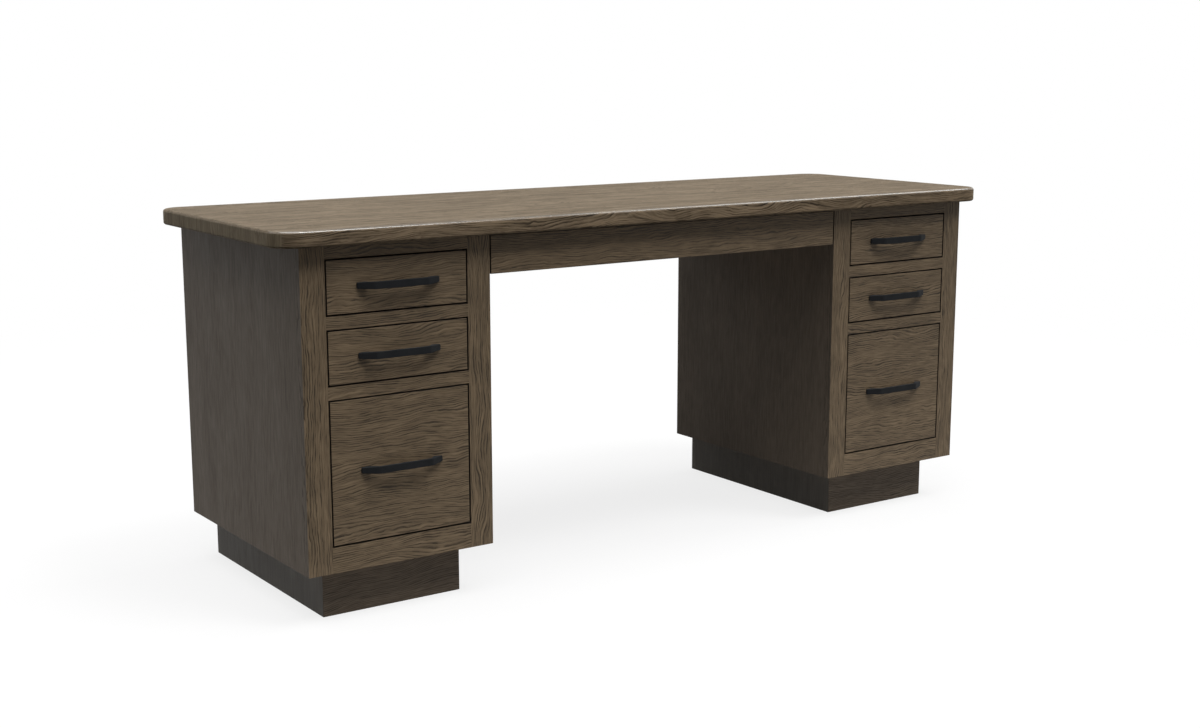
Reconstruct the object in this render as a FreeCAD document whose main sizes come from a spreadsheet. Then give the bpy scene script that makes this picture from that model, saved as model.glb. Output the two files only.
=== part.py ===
# A double-pedestal executive desk in oak, built as a cabinet maker builds one: a thick top on two
# face-frame pedestals, six inset pedestal drawers, a pencil drawer over the kneehole, dovetailed
# drawer boxes and telescopic slides.
#
# The origin is on the floor under the middle of the top. +X is to the right of someone looking at
# the drawer fronts, +Y is away from them and +Z is up. All sizes are millimetres.

import FreeCAD, Part
import Sketcher
import os
import re

from FreeCAD import Placement, Rotation, Vector


# Driving dimensions: alias, size and what it measures.
DIMENSIONS = [
    ("top_length", 1828.8, "desk top, left to right"),
    ("top_depth", 609.6, "desk top, front to back"),
    ("top_thick", 31.75, "desk top thickness"),
    ("top_corner", 50.8, "desk top, corner radius in plan"),
    ("top_round_over", 6.0, "desk top, rounding of the upper edge"),
    ("top_round_under", 5.0, "desk top, rounding of the lower edge"),
    ("desk_height", 762.0, "floor to the upper face of the top"),
    ("over_side", 50.8, "overhang of the top at each side"),
    ("over_front", 25.4, "overhang of the top at the front"),
    ("over_back", 6.35, "overhang of the top at the back"),
    ("ped_width", 406.4, "pedestal width"),
    ("plinth_height", 101.6, "floor to the underside of a pedestal"),
    ("plinth_thick", 19.05, "plinth board thickness"),
    ("toe_side", 50.8, "recess of the plinth at each side"),
    ("toe_front", 50.8, "recess of the plinth at the front"),
    ("side_thick", 19.05, "pedestal side thickness"),
    ("back_thick", 12.7, "pedestal back panel thickness"),
    ("floor_thick", 19.05, "pedestal floor panel thickness"),
    ("housing", 6.35, "depth of the housings for floor and back in the sides"),
    ("frame_thick", 19.05, "face frame thickness"),
    ("stile_width", 50.8, "face frame stile width"),
    ("top_rail", 25.4, "height of the top rail"),
    ("mid_rail", 25.4, "height of a rail between drawers"),
    ("low_rail", 50.8, "height of the bottom rail"),
    ("tenon_long", 25.4, "tenon length"),
    ("tenon_thick", 9.525, "tenon thickness"),
    ("tenon_shoulder", 4.0, "step above and below a tenon"),
    ("stretcher_wide", 76.2, "width of a top stretcher, front to back"),
    ("stretcher_thick", 19.05, "thickness of a top stretcher"),
    ("block_height", 63.5, "height of a slide block"),
    ("back_rail_high", 127.0, "height of the rail behind the kneehole"),
    ("back_rail_thick", 19.05, "thickness of the rail behind the kneehole"),
    ("reveal", 3.175, "gap round a drawer front"),
    ("front_thick", 19.05, "drawer front thickness"),
    ("small_front", 101.6, "height of an upper or middle drawer front"),
    ("pencil_front_high", 76.2, "height of the pencil drawer front"),
    ("box_thick", 12.7, "thickness of a drawer box board"),
    ("box_lift", 12.7, "drawer opening's lower edge to the drawer box"),
    ("box_headroom", 19.05, "drawer box to the upper edge of its opening"),
    ("box_gap", 38.1, "pedestal drawer box to the back panel"),
    ("pencil_headroom", 12.7, "pencil drawer box to the upper edge of its front"),
    ("pencil_gap", 133.35, "pencil drawer box to the rail behind the kneehole"),
    ("pencil_lip", 12.7, "pencil front below its box, to pull by"),
    ("bottom_thick", 6.35, "drawer bottom thickness"),
    ("bottom_seat", 6.35, "depth of the groove for a drawer bottom"),
    ("bottom_lift", 12.7, "box's lower edge to the drawer bottom"),
    ("pin_width", 6.35, "dovetail pin at its narrow end"),
    ("pin_flare", 2.1, "how much a pin widens on each side"),
    ("slide_wide", 12.7, "space a slide takes between box and cabinet"),
    ("slide_high", 45.0, "height of a slide"),
    ("slide_wall", 1.5, "sheet thickness of a slide"),
    ("slide_play", 0.4, "running gap between slide members"),
    ("slide_setback", 3.0, "drawer front to the front end of a slide"),
    ("hanger_thick", 3.0, "thickness of a hanging-folder rail"),
    ("hanger_high", 12.7, "height of a hanging-folder rail"),
    ("hanger_inset", 25.4, "box front board to the first folder rail"),
    ("hanger_spacing", 308.0, "first folder rail to the second"),
    ("hanger_seat", 6.35, "depth of a folder rail's notch in a box side"),
    ("pull_length", 176.0, "pull, end to end"),
    ("pull_height", 14.5, "pull strap, top to bottom"),
    ("pull_tip_high", 11.5, "pull strap at its ends, top to bottom"),
    ("pull_reach", 19.0, "pull, drawer front to the face of the bar"),
    ("pull_wall", 4.5, "thickness of the pull's bar"),
    ("pull_tip", 3.0, "thickness of the pull at its ends"),
    ("pull_slope", 30.0, "length of a pull's sloping end"),
    ("pull_foot", 18.0, "length of a pull's foot on the drawer front"),
    ("pull_bend", 14.0, "outer radius where the bar bends"),
    ("pull_nose", 2.5, "rounding of the pull's ends, seen from the front"),
    ("pull_ease", 1.0, "rounding of the pull's long edges"),
    ("screw_centres", 160.0, "distance between a pull's screws"),
    ("screw_radius", 2.0, "pull screw shank radius"),
    ("screw_grip", 5.0, "pull screw's depth in the pull"),
    ("head_radius", 4.0, "screw head radius"),
    ("head_high", 2.5, "screw head height"),
    ("hole_play", 0.25, "clearance round a screw in wood that it passes through"),
    ("thread_play", 0.05, "clearance round a screw where it bites"),
    ("top_screw_radius", 2.2, "top screw shank radius"),
    ("top_screw_bite", 19.0, "top screw's depth in the top"),
    ("top_screw_inset", 76.2, "pedestal side to a top screw"),
]

# Places and sizes that follow from the driving dimensions.
FORMULAS = {
    "outer_x": "top_length / 2 - over_side",
    "inner_x": "outer_x - ped_width",
    "lining_in": "inner_x + side_thick",
    "lining_out": "outer_x - side_thick",
    "opening_in": "inner_x + stile_width",
    "opening_out": "outer_x - stile_width",
    "face_y": "over_front - top_depth / 2",
    "rear_y": "top_depth / 2 - over_back",
    "carcass_y": "face_y + frame_thick",
    "panel_y": "rear_y - back_thick",
    "carcass_top": "desk_height - top_thick",
    "stretcher_low": "carcass_top - stretcher_thick",
    "small_opening": "small_front + 2 * reveal",
    "upper_high": "carcass_top - top_rail",
    "upper_low": "upper_high - small_opening",
    "middle_high": "upper_low - mid_rail",
    "middle_low": "middle_high - small_opening",
    "file_high": "middle_low - mid_rail",
    "file_low": "plinth_height + low_rail",
    "pencil_high": "carcass_top",
    "pencil_low": "carcass_top - pencil_front_high - 2 * reveal",
    "tenon_y": "face_y + (frame_thick - tenon_thick) / 2",
    "plinth_y": "face_y + toe_front",
    "plinth_in": "inner_x + toe_side",
    "plinth_out": "outer_x - toe_side",
    "box_y": "face_y + front_thick",
    "box_rear_y": "panel_y - box_gap",
    "pencil_rear_y": "rear_y - back_rail_thick - pencil_gap",
    "slide_y": "box_y + slide_setback",
    "box_inside_y": "box_y + box_thick",
    "hanger_y": "box_inside_y + hanger_inset",
    "pull_half": "pull_length / 2",
    "pull_flat": "pull_half - pull_slope",
    "pull_toe": "pull_half - pull_foot",
    "pull_back": "pull_reach - pull_wall",
    "pull_taper": "(pull_height - pull_tip_high) / 2",
    "pull_hollow": "pull_flat - pull_wall / 2",
    "top_screw_front": "carcass_y + stretcher_wide / 2",
    "top_screw_rear": "panel_y - stretcher_wide / 2",
}

# The share of a size by which a place may miss it and still count as there.
NEAR = 0.01

SHEET = "Sizes"
WORD = re.compile(r"[a-z_]+")
SIDES = {"left": -1, "right": 1}

# How many tails hold each corner of a drawer box.
SMALL_TAILS = 3
FILE_TAILS = 8
PENCIL_TAILS = 2

doc = FreeCAD.newDocument("executive_desk")
sheet = doc.addObject("Spreadsheet::Sheet", SHEET)
for row, (alias, size, meaning) in enumerate(DIMENSIONS, start=1):
    sheet.set(f"A{row}", meaning)
    sheet.set(f"B{row}", str(size))
    sheet.setAlias(f"B{row}", alias)
doc.recompute()

# The finished sub-parts by the name of their file.
nodes = {}


# Formulas and spans

def formula(text):
    """Spells a formula out in cells of the sheet."""

    def spell(match):
        word = match.group()
        if word in FORMULAS:
            return f"({formula(FORMULAS[word])})"
        return f"{SHEET}.{word}"

    return WORD.sub(spell, text)


def size_of(text):
    """The present value of a formula."""
    return float(sheet.evalExpression(formula(text)))


def beside(side, near, far):
    """The span in X from near to far of the desk's middle, left (-1) or right (1) of it."""
    if side > 0:
        return near, far
    return f"-({far})", f"-({near})"


def run(start, length):
    """The span that begins at start and is length long."""
    return start, f"{start} + {length}"


def middle(span):
    """The middle of a span."""
    return f"(({span[0]}) + ({span[1]})) / 2"


def inside(span, inset):
    """A span with the same inset taken off both ends."""
    return f"({span[0]}) + {inset}", f"({span[1]}) - {inset}"


# Pieces of wood and metal

def board(name, x, y, z):
    """A square-edged board that fills three spans."""
    piece = doc.addObject("Part::Box", name)
    for length, (low, high) in zip(("Length", "Width", "Height"), (x, y, z)):
        piece.setExpression(length, formula(f"({high}) - ({low})"))
    for axis, (low, _) in zip("xyz", (x, y, z)):
        piece.setExpression(f"Placement.Base.{axis}", formula(low))
    return piece


def wedge(name, x, y, z, x_far, z_far):
    """A board that goes from the spans x and z at its front to x_far and z_far at its back."""
    piece = doc.addObject("Part::Wedge", name)
    spans = {"X": x, "Y": y, "Z": z, "X2": x_far, "Z2": z_far}
    for letter, (low, high) in spans.items():
        piece.setExpression(f"{letter}min", formula(low))
        piece.setExpression(f"{letter}max", formula(high))
    return piece


def rod(name, radius, length, base, turn=Rotation()):
    """A round rod from a base point, upright unless it is turned."""
    piece = doc.addObject("Part::Cylinder", name)
    piece.Placement = Placement(Vector(), turn)
    piece.setExpression("Radius", formula(radius))
    piece.setExpression("Height", formula(length))
    for axis, place in zip("xyz", base):
        piece.setExpression(f"Placement.Base.{axis}", formula(place))
    return piece


def fuse(name, pieces):
    """Several solids made one."""
    piece = doc.addObject("Part::MultiFuse", name)
    piece.Shapes = pieces
    piece.Refine = True
    return piece


def cut(name, base, tools):
    """A solid with others taken out of it."""
    piece = doc.addObject("Part::Cut", name)
    piece.Base = base
    piece.Tool = tools[0] if len(tools) == 1 else fuse(f"{name}_cutter", tools)
    return piece


def keep(name, pieces):
    """Files one solid, or several that belong together, as a sub-part."""
    if len(pieces) == 1:
        part = pieces[0]
    else:
        part = doc.addObject("Part::Compound", name)
        part.Links = pieces
    part.Label = name
    nodes[name] = part
    return part


def outline(body, name, points, plane="XY_Plane"):
    """A closed outline in one of a body's planes through points given as pairs of formulas."""
    sketch = body.newObject("Sketcher::SketchObject", name)
    ground = next(f for f in body.Origin.OriginFeatures if f.Role == plane)
    sketch.AttachmentSupport = (ground, [""])
    sketch.MapMode = "FlatFace"
    corners = [Vector(size_of(x), size_of(y), 0) for x, y in points]
    count = len(points)
    for index, corner in enumerate(corners):
        following = corners[(index + 1) % count]
        sketch.addGeometry(Part.LineSegment(corner, following), False)
    for index in range(count):
        sketch.addConstraint(Sketcher.Constraint("Coincident", index, 2, (index + 1) % count, 1))
    for index, (point, corner) in enumerate(zip(points, corners)):
        for kind, place, text in zip(("DistanceX", "DistanceY"), (corner.x, corner.y), point):
            number = sketch.addConstraint(Sketcher.Constraint(kind, -1, 1, index, 1, place))
            sketch.setExpression(f"Constraints[{number}]", formula(text))
    return sketch


def pad(body, name, sketch, height):
    """A sketch raised to a height."""
    feature = body.newObject("PartDesign::Pad", name)
    feature.Profile = sketch
    feature.setExpression("Length", formula(height))
    doc.recompute()
    return feature


def slot(body, name, sketch):
    """A sketch taken out of a body all the way through, both ways."""
    feature = body.newObject("PartDesign::Pocket", name)
    feature.Profile = sketch
    feature.Type = "ThroughAll"
    feature.Midplane = True
    doc.recompute()
    return feature


def round_edges(body, name, base, radius, chosen):
    """Rounds those edges of a feature that a test chooses."""
    edges = [f"Edge{n}" for n, edge in enumerate(base.Shape.Edges, start=1) if chosen(edge)]
    feature = body.newObject("PartDesign::Fillet", name)
    feature.Base = (base, edges)
    feature.setExpression("Radius", formula(radius))
    doc.recompute()
    return feature


def place(body, base):
    """Puts a body's own origin at a point."""
    for axis, text in zip("xyz", base):
        body.setExpression(f"Placement.Base.{axis}", formula(text))


def is_upright(edge):
    """Whether an edge runs straight up."""
    return edge.BoundBox.ZLength > (1 - NEAR) * edge.Length


def is_level(edge):
    """Whether an edge lies flat."""
    return edge.BoundBox.ZLength < NEAR * edge.Length


# The top and what fastens it

def top_screw(name, x, y):
    """A screw that comes up through a stretcher into the top."""
    head = rod(f"{name}_head", "head_radius", "head_high", (x, y, "stretcher_low - head_high"))
    shank_length = "stretcher_thick + top_screw_bite + head_high / 2"
    shank = rod(f"{name}_shank", "top_screw_radius", shank_length, (x, y, "stretcher_low - head_high / 2"))
    return fuse(name, [head, shank])


def top_screw_holes(name, x, y):
    """The clearance hole in a stretcher and the pilot hole in the top for one screw."""
    start = (x, y, "stretcher_low - head_high")
    through = rod(f"{name}_through", "top_screw_radius + hole_play", "stretcher_thick + head_high", start)
    pilot = rod(
        f"{name}_pilot",
        "top_screw_radius + thread_play",
        "top_screw_bite + thread_play",
        (x, y, "carcass_top"),
    )
    return through, pilot


def build_top(pilots):
    """The slab with rounded corners and eased edges, and the pilot holes in its underside."""
    body = doc.addObject("PartDesign::Body", "top_slab")
    half_x = "top_length / 2"
    half_y = "top_depth / 2"
    corners = [
        (f"-{half_x}", f"-{half_y}"),
        (half_x, f"-{half_y}"),
        (half_x, half_y),
        (f"-{half_x}", half_y),
    ]
    slab = pad(body, "top_blank", outline(body, "top_plan", corners), "top_thick")
    slab = round_edges(body, "top_corners", slab, "top_corner", is_upright)
    half = size_of("top_thick") / 2
    slab = round_edges(body, "top_arris", slab, "top_round_over", lambda e: e.BoundBox.ZMin > half)
    slab = round_edges(body, "top_foot", slab, "top_round_under", lambda e: e.BoundBox.ZMax < half)
    body.setExpression("Placement.Base.z", formula("carcass_top"))
    keep("desk_top", [cut("desk_top", body, pilots)])


# Pedestals

def build_face_frame(hand, side):
    """Four rails tenoned between two stiles."""
    y = run("face_y", "frame_thick")
    tongue_y = run("tenon_y", "tenon_thick")
    x = beside(side, "opening_in", "opening_out")
    tongue_x = beside(side, "opening_in - tenon_long", "opening_out + tenon_long")
    heights = {
        "top_rail": run("upper_high", "top_rail"),
        "upper_rail": run("middle_high", "mid_rail"),
        "lower_rail": run("file_high", "mid_rail"),
        "bottom_rail": run("plinth_height", "low_rail"),
    }
    rails = []
    for title, z in heights.items():
        name = f"{hand}_{title}"
        blank = board(f"{name}_blank", x, y, z)
        tongue = board(f"{name}_tongue", tongue_x, tongue_y, inside(z, "tenon_shoulder"))
        rails.append(fuse(name, [blank, tongue]))
    keep(f"{hand}_frame_rails", rails)
    stiles = {"inner": ("inner_x", "opening_in"), "outer": ("opening_out", "outer_x")}
    for title, (near, far) in stiles.items():
        name = f"{hand}_{title}_stile"
        blank = board(f"{name}_blank", beside(side, near, far), y, ("plinth_height", "carcass_top"))
        keep(name, [cut(name, blank, rails)])


def build_carcass(hand, side, through_holes):
    """Two sides with the floor and the back housed in them, and the stretchers under the top."""
    z = ("plinth_height", "carcass_top")
    housed_x = beside(side, "lining_in - housing", "lining_out + housing")
    floor_z = run("plinth_height", "floor_thick")
    floor = board(f"{hand}_floor_panel", housed_x, ("carcass_y", "panel_y"), floor_z)
    back = board(f"{hand}_back_panel", housed_x, ("panel_y", "rear_y"), z)
    keep(f"{hand}_floor_panel", [floor])
    keep(f"{hand}_back_panel", [back])
    sides = {"inner": ("inner_x", "lining_in"), "outer": ("lining_out", "outer_x")}
    for title, (near, far) in sides.items():
        name = f"{hand}_{title}_side"
        blank = board(f"{name}_blank", beside(side, near, far), ("carcass_y", "rear_y"), z)
        keep(name, [cut(name, blank, [floor, back])])
    between_x = beside(side, "lining_in", "lining_out")
    stretcher_z = ("stretcher_low", "carcass_top")
    spans = {
        "front": run("carcass_y", "stretcher_wide"),
        "rear": ("panel_y - stretcher_wide", "panel_y"),
    }
    stretchers = []
    for title, y in spans.items():
        name = f"{hand}_{title}_stretcher"
        blank = board(f"{name}_blank", between_x, y, stretcher_z)
        stretchers.append(cut(name, blank, through_holes[title]))
    keep(f"{hand}_top_stretchers", stretchers)


def build_plinth(hand, side):
    """A recessed base of four boards, mitred at its front corners."""
    z = ("0", "plinth_height")
    x = beside(side, "plinth_in", "plinth_out")
    front_y = run("plinth_y", "plinth_thick")
    front = wedge(f"{hand}_plinth_front", x, front_y, z, inside(x, "plinth_thick"), z)
    boards = [front]
    sides = {
        "inner": run("plinth_in", "plinth_thick"),
        "outer": ("plinth_out - plinth_thick", "plinth_out"),
    }
    for title, (near, far) in sides.items():
        name = f"{hand}_plinth_{title}"
        blank = board(f"{name}_blank", beside(side, near, far), ("plinth_y", "rear_y"), z)
        boards.append(cut(name, blank, [front]))
    back_y = ("rear_y - plinth_thick", "rear_y")
    boards.append(board(f"{hand}_plinth_back", inside(x, "plinth_thick"), back_y, z))
    keep(f"{hand}_plinth", boards)


# Telescopic slides

def channel(name, x, y, z, hollow_x, hollow_z):
    """A length of sheet-metal channel: a bar with its open side taken out."""
    blank = board(f"{name}_blank", x, y, z)
    hollow = board(f"{name}_hollow", hollow_x, y, hollow_z)
    return cut(name, blank, [hollow])


def build_slide(name, wall, inward, y, z_middle):
    """The three members of one slide, from the cabinet wall inward (-1 to the left, 1 to the right)."""

    def reach(near, far):
        low, high = f"({wall}) + {near}", f"({wall}) + {far}"
        if inward < 0:
            low, high = f"({wall}) - ({far})", f"({wall}) - ({near})"
        return low, high

    def tall(height):
        return f"{z_middle} - ({height}) / 2", f"{z_middle} + ({height}) / 2"

    step = "2 * slide_wall + 2 * slide_play"
    cabinet_high = "slide_high"
    carrier_high = f"{cabinet_high} - ({step})"
    runner_high = f"{carrier_high} - ({step})"
    carrier_near = "slide_wall + slide_play"
    runner_far = "slide_wide"
    lip = "slide_wide - slide_wall - slide_play"
    cabinet = channel(
        f"{name}_cabinet",
        reach("0", lip),
        y,
        tall(cabinet_high),
        reach("slide_wall", lip),
        tall(f"{cabinet_high} - 2 * slide_wall"),
    )
    carrier = channel(
        f"{name}_carrier",
        reach(carrier_near, lip),
        y,
        tall(carrier_high),
        reach(f"{carrier_near} + slide_wall", lip),
        tall(f"{carrier_high} - 2 * slide_wall"),
    )
    runner_near = f"{carrier_near} + slide_wall + slide_play"
    runner = channel(
        f"{name}_runner",
        reach(runner_near, runner_far),
        y,
        tall(runner_high),
        reach(runner_near, f"{runner_far} - slide_wall"),
        tall(f"{runner_high} - 2 * slide_wall"),
    )
    return cabinet, carrier, runner


def build_slide_pair(name, x, y, z_middle):
    """The slides at both ends of a drawer's space in X, as cabinet, carrier and runner pairs."""
    left = build_slide(f"{name}_left", x[0], 1, y, z_middle)
    right = build_slide(f"{name}_right", x[1], -1, y, z_middle)
    return [list(pair) for pair in zip(left, right)]


# Drawers

def build_box(name, x, y, z, tails, holes, hangers):
    """A dovetailed box with its bottom in a groove, drilled for screws and notched for folder rails."""
    low_z = f"{z[0]} + bottom_lift"
    seat = "(box_thick - bottom_seat)"
    bottom = board(f"{name}_bottom", inside(x, seat), inside(y, seat), run(low_z, "bottom_thick"))
    ends = {
        "front": (y[0], f"{y[0]} + box_thick", 1),
        "back": (f"{y[1]} - box_thick", y[1], -1),
    }
    pins = []
    for title, (near, far, facing) in ends.items():
        for number in range(tails + 1):
            centre = f"{z[0]} + ({z[1]} - ({z[0]})) * {number} / {tails}"
            slim = (f"{centre} - pin_width / 2", f"{centre} + pin_width / 2")
            broad = inside(slim, "-pin_flare")
            first, last = (slim, broad) if facing > 0 else (broad, slim)
            pins.append(wedge(f"{name}_{title}_pin_{number}", x, (near, far), first, x, last))
    waste = fuse(f"{name}_side_waste", pins + [bottom] + hangers)
    sides = []
    for title, span in {"left": run(x[0], "box_thick"), "right": (f"{x[1]} - box_thick", x[1])}.items():
        blank = board(f"{name}_{title}_blank", span, y, z)
        sides.append(cut(f"{name}_{title}", blank, [waste]))
    boards = []
    for title, (near, far, facing) in ends.items():
        blank = board(f"{name}_{title}_blank", x, (near, far), z)
        drilled = holes if facing > 0 else []
        boards.append(cut(f"{name}_{title}", blank, sides + [bottom] + drilled))
    keep(name, sides + boards + [bottom])


def pull_screw_points(x, z):
    """The places of a pull's two screws on a drawer front."""
    centre = middle(x)
    return [(f"{centre} {sign} screw_centres / 2", middle(z)) for sign in "-+"]


def pull_screw(name, x, z):
    """A screw from inside the box through both fronts into the pull."""
    forward = Rotation(Vector(1, 0, 0), 90)
    length = "head_high / 2 + box_thick + front_thick + screw_grip"
    head = rod(f"{name}_head", "head_radius", "head_high", (x, "box_inside_y + head_high", z), forward)
    shank = rod(f"{name}_shank", "screw_radius", length, (x, "box_inside_y + head_high / 2", z), forward)
    return fuse(name, [head, shank])


def pull_screw_hole(name, x, z):
    """The hole for a pull screw through the box's front board and the drawer front."""
    forward = Rotation(Vector(1, 0, 0), 90)
    return rod(name, "screw_radius + hole_play", "box_thick + front_thick", (x, "box_inside_y", z), forward)


def build_pull(name, x, z):
    """A bowed strap with flat feet and sloping ends that grow lower to their tips, and its two screws."""
    body = doc.addObject("PartDesign::Body", f"{name}_bar")
    front_half = [
        ("pull_half", "0"),
        ("pull_half", "-pull_tip"),
        ("pull_flat", "-pull_reach"),
    ]
    back_half = [
        ("pull_hollow", "-pull_back"),
        ("pull_toe", "0"),
    ]
    mirrored_front = [(f"-{u}", v) for u, v in reversed(front_half)]
    mirrored_back = [(f"-{u}", v) for u, v in reversed(back_half)]
    points = front_half + mirrored_front + mirrored_back + back_half
    bar = pad(body, f"{name}_strap", outline(body, f"{name}_plan", points), "pull_height")
    reach = size_of("pull_reach")
    back = size_of("pull_back")
    half = size_of("pull_half")
    front_depth = size_of("pull_tip") / 2

    def lies_at(depth):
        return lambda edge: is_upright(edge) and abs(edge.BoundBox.YMin + depth) < NEAR * depth

    def is_end_edge(edge):
        return is_level(edge) and abs(abs(edge.CenterOfMass.x) - half) < NEAR * half

    def is_front_edge(edge):
        return not is_upright(edge) and edge.BoundBox.YMax < -front_depth

    bar = round_edges(body, f"{name}_bend", bar, "pull_bend", lies_at(reach))
    bar = round_edges(body, f"{name}_inner_bend", bar, "pull_bend - pull_wall", lies_at(back))
    tapers = (("upper", "pull_height", "pull_height - pull_taper"), ("lower", "0", "pull_taper"))
    for end, sign in {"left": "-", "right": ""}.items():
        for edge, high, low in tapers:
            corner = [(f"{sign}pull_half", high), (f"{sign}pull_half", low), (f"{sign}pull_flat", high)]
            waste = outline(body, f"{name}_{end}_{edge}_waste", corner, "XZ_Plane")
            bar = slot(body, f"{name}_{end}_{edge}_taper", waste)
    bar = round_edges(body, f"{name}_nose", bar, "pull_nose", is_end_edge)
    bar = round_edges(body, f"{name}_eased", bar, "pull_ease", is_front_edge)
    place(body, (middle(x), "face_y", f"{middle(z)} - pull_height / 2"))
    taps = []
    screws = []
    forward = Rotation(Vector(1, 0, 0), 90)
    for number, (screw_x, screw_z) in enumerate(pull_screw_points(x, z), start=1):
        tap_base = (screw_x, "face_y", screw_z)
        tap_radius = "screw_radius + thread_play"
        taps.append(rod(f"{name}_tap_{number}", tap_radius, "screw_grip + thread_play", tap_base, forward))
        screws.append(pull_screw(f"{name}_screw_{number}", screw_x, screw_z))
    keep(name, [cut(f"{name}_tapped", body, taps)] + screws)


def build_hangers(name, x, z):
    """Two rails across a file drawer box for hanging folders."""
    rail_x = inside(x, "(box_thick - hanger_seat)")
    rail_z = (f"{z[1]} - hanger_high", z[1])
    rails = []
    for number, start in enumerate(("hanger_y", "hanger_y + hanger_spacing"), start=1):
        rails.append(board(f"{name}_{number}", rail_x, run(start, "hanger_thick"), rail_z))
    keep(name, rails)
    return rails


def build_pedestal_drawer(hand, side, title):
    """One pedestal drawer with its slides and slide blocks; gives the pieces that stay in the cabinet."""
    name = f"{hand}_{title}"
    is_file = title == "file"
    opening_x = beside(side, "opening_in", "opening_out")
    opening_z = (f"{title}_low", f"{title}_high")
    front_x = inside(opening_x, "reveal")
    front_z = inside(opening_z, "reveal")
    box_x = inside(opening_x, "slide_wide")
    box_y = ("box_y", "box_rear_y")
    box_z = (f"{title}_low + box_lift", f"{title}_high - box_headroom")

    points = pull_screw_points(front_x, front_z)
    holes = [pull_screw_hole(f"{name}_hole_{n}", *point) for n, point in enumerate(points, start=1)]
    blank = board(f"{name}_front_blank", front_x, run("face_y", "front_thick"), front_z)
    keep(f"{name}_front", [cut(f"{name}_front", blank, holes)])
    hangers = build_hangers(f"{name}_folder_rails", box_x, box_z) if is_file else []
    tails = FILE_TAILS if is_file else SMALL_TAILS
    build_box(f"{name}_box", box_x, box_y, box_z, tails, holes, hangers)
    build_pull(f"{name}_pull", front_x, front_z)

    slide_z = middle(box_z)
    slide_y = ("slide_y", "box_rear_y")
    cabinet, carriers, runners = build_slide_pair(f"{name}_slide", opening_x, slide_y, slide_z)
    keep(f"{name}_carriers", carriers)
    keep(f"{name}_runners", runners)
    block_z = (f"{slide_z} - block_height / 2", f"{slide_z} + block_height / 2")
    block_y = ("carcass_y", "panel_y")
    blocks = [
        board(f"{name}_block_in", beside(side, "lining_in", "opening_in"), block_y, block_z),
        board(f"{name}_block_out", beside(side, "opening_out", "lining_out"), block_y, block_z),
    ]
    return cabinet, blocks


def build_pencil_drawer():
    """The shallow drawer over the kneehole; gives its cabinet slide members."""
    space_x = ("-inner_x", "inner_x")
    front_z = inside(("pencil_low", "pencil_high"), "reveal")
    box_x = inside(space_x, "slide_wide")
    box_y = ("box_y", "pencil_rear_y")
    box_z = (f"{front_z[0]} + pencil_lip", f"{front_z[1]} - pencil_headroom")
    front = board("pencil_front", inside(space_x, "reveal"), run("face_y", "front_thick"), front_z)
    keep("pencil_front", [front])
    build_box("pencil_box", box_x, box_y, box_z, PENCIL_TAILS, [], [])
    slide_y = ("slide_y", "pencil_rear_y")
    cabinet, carriers, runners = build_slide_pair("pencil_slide", space_x, slide_y, middle(box_z))
    keep("pencil_carriers", carriers)
    keep("pencil_runners", runners)
    return cabinet


# The whole desk

def build_desk():
    """Every piece of the desk in its place."""
    pilots = []
    screws = []
    cabinet_members = []
    screw_places = {"in": "inner_x + top_screw_inset", "out": "outer_x - top_screw_inset"}
    for hand, side in SIDES.items():
        through_holes = {}
        for title in ("front", "rear"):
            through_holes[title] = []
            for place_name, near in screw_places.items():
                x = f"{side} * ({near})"
                y = f"top_screw_{title}"
                name = f"{hand}_{title}_{place_name}_top_screw"
                screws.append(top_screw(name, x, y))
                through, pilot = top_screw_holes(name, x, y)
                through_holes[title].append(through)
                pilots.append(pilot)
        build_face_frame(hand, side)
        build_carcass(hand, side, through_holes)
        build_plinth(hand, side)
        blocks = []
        for title in ("upper", "middle", "file"):
            members, drawer_blocks = build_pedestal_drawer(hand, side, title)
            cabinet_members.extend(members)
            blocks.extend(drawer_blocks)
        keep(f"{hand}_slide_blocks", blocks)
    cabinet_members.extend(build_pencil_drawer())
    keep("cabinet_slides", cabinet_members)
    keep("top_screws", screws)
    rail_y = ("rear_y - back_rail_thick", "rear_y")
    rail_z = ("carcass_top - back_rail_high", "carcass_top")
    keep("kneehole_rail", [board("kneehole_rail", ("-inner_x", "inner_x"), rail_y, rail_z)])
    build_top(pilots)


def check_desk():
    """Stops if any object failed or any sub-part has no sound shape."""
    for item in doc.Objects:
        if {"Invalid", "Error"} & set(item.State):
            raise RuntimeError(f"{item.Label} failed: {item.State}")
    for name, part in nodes.items():
        if part.Shape.isNull() or not part.Shape.isValid():
            raise RuntimeError(f"{name} has no sound shape")
        if not part.Shape.Solids:
            raise RuntimeError(f"{name} holds no solid")


def write_desk():
    """Writes each sub-part to its own file."""
    os.makedirs("parts", exist_ok=True)
    for name, part in nodes.items():
        part.Shape.exportStep(f"parts/{name}.step")
    solids = sum(len(part.Shape.Solids) for part in nodes.values())
    print(f"{len(nodes)} sub-parts, {solids} solids")


build_desk()
doc.recompute()
check_desk()
write_desk()
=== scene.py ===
"""Looks of an executive desk: two drawer pedestals, a pencil drawer and a thick oak top.

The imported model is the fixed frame.  Most of its pieces keep their shape and only get their finish here,
while the drawer fronts and the plinths are sawn again with eased edges.  All lengths are in metres, with
+X to the right of someone who faces the drawers, +Y away from them and +Z up.
"""

import logging
import math
from dataclasses import dataclass
from enum import Enum, IntEnum
from functools import cache
from typing import ClassVar, Optional, Sequence, Union

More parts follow.
